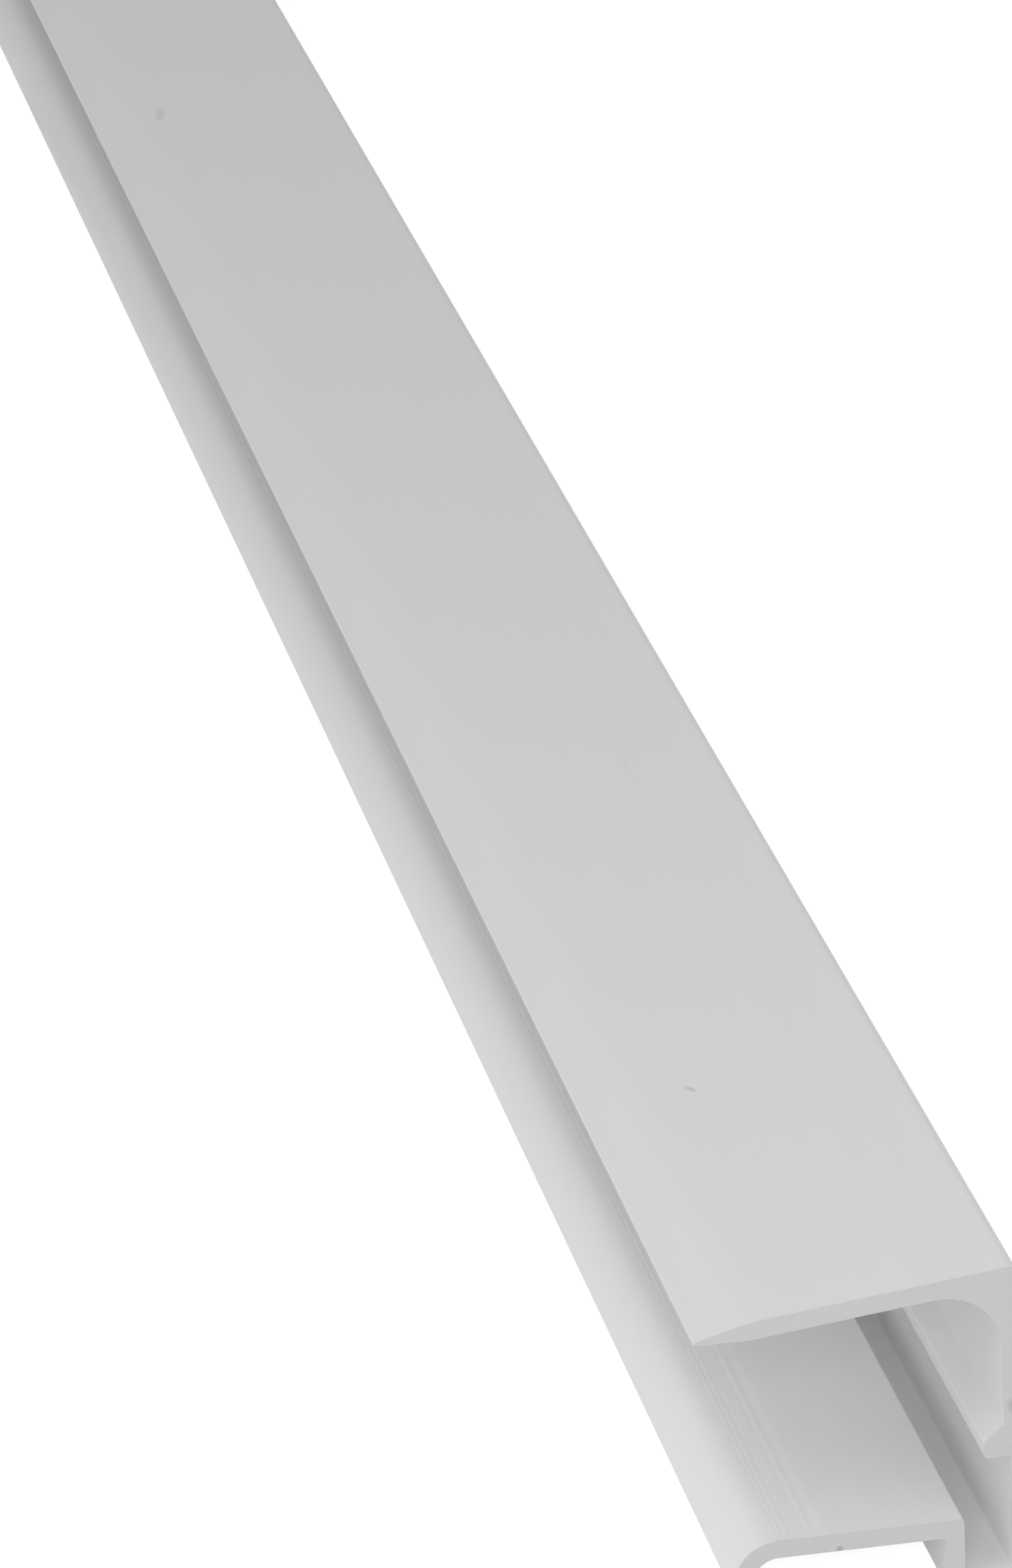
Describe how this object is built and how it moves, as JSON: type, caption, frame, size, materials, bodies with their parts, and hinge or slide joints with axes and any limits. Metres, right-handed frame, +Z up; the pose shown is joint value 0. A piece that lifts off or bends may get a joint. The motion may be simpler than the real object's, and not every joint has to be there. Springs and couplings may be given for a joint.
{
  "type": "u-channel tile trim",
  "caption": "Straight aluminium U-channel edge trim with a sloped top plate, a rolled lower lip, a recessed channel and a snap-in barb inside its web.",
  "frame": {"origin": "centre of the box's underside, halfway along the length, on the plane that the lip and the channel stand on", "axes": "+Y along the length, +X from the open mouth to the web, +Z up to the top plate"},
  "size_m": [0.03, 1, 0.0317],
  "materials": {
    "anodised_aluminium": "satin anodised"
  },
  "bodies": {
    "root": {"u_channel_trim": "anodised_aluminium"}
  },
  "joints": []
}
